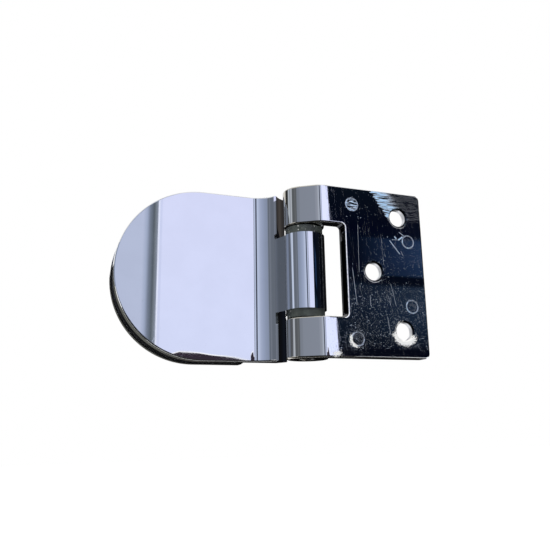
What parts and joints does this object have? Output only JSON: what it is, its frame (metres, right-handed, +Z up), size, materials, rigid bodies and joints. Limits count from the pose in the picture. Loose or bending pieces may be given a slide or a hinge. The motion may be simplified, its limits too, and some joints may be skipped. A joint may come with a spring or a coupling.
{
  "type": "sauna door hinge",
  "caption": "Chromed glass-door hinge: D-shaped glass clamp and drilled wall leaf joined by a barrel with plastic bushes, shown flat open.",
  "frame": {"origin": "middle of the wall leaf's flat mounting face", "axes": "+Z up along the hinge axis, +X from the glass leaf to the wall leaf, -Y out of the mounting face and of the polished face"},
  "size_m": [0.0976, 0.0329, 0.055],
  "materials": {
    "scuffed_chrome": "chrome plate, finely scratched",
    "polished_chrome": "mirror-polished chrome plate",
    "clamp_chrome": "polished chrome plate",
    "front_pad_rubber": "matt black rubber",
    "rear_pad_rubber": "matt black rubber",
    "screw_steel": "plain stainless steel",
    "pin_steel": "ground steel",
    "upper_bush_plastic": "dark grey-green plastic",
    "lower_bush_plastic": "dark grey-green plastic"
  },
  "bodies": {
    "wall_side": {"wall_leaf": "scuffed_chrome", "hinge_pin": "pin_steel"},
    "glass_side": {"glass_leaf": "polished_chrome", "clamp_plate": "clamp_chrome", "front_pad": "front_pad_rubber", "rear_pad": "rear_pad_rubber", "clamp_screws": "screw_steel", "upper_bush": "upper_bush_plastic", "lower_bush": "lower_bush_plastic"}
  },
  "joints": [
    {"name": "leaf_swing", "type": "hinge", "parent": "wall_side", "child": "glass_side", "pos_m": [-0.02445, 0.00925, 0], "axis": [0, 0, 1], "range_deg": [-128, 134]}
  ]
}
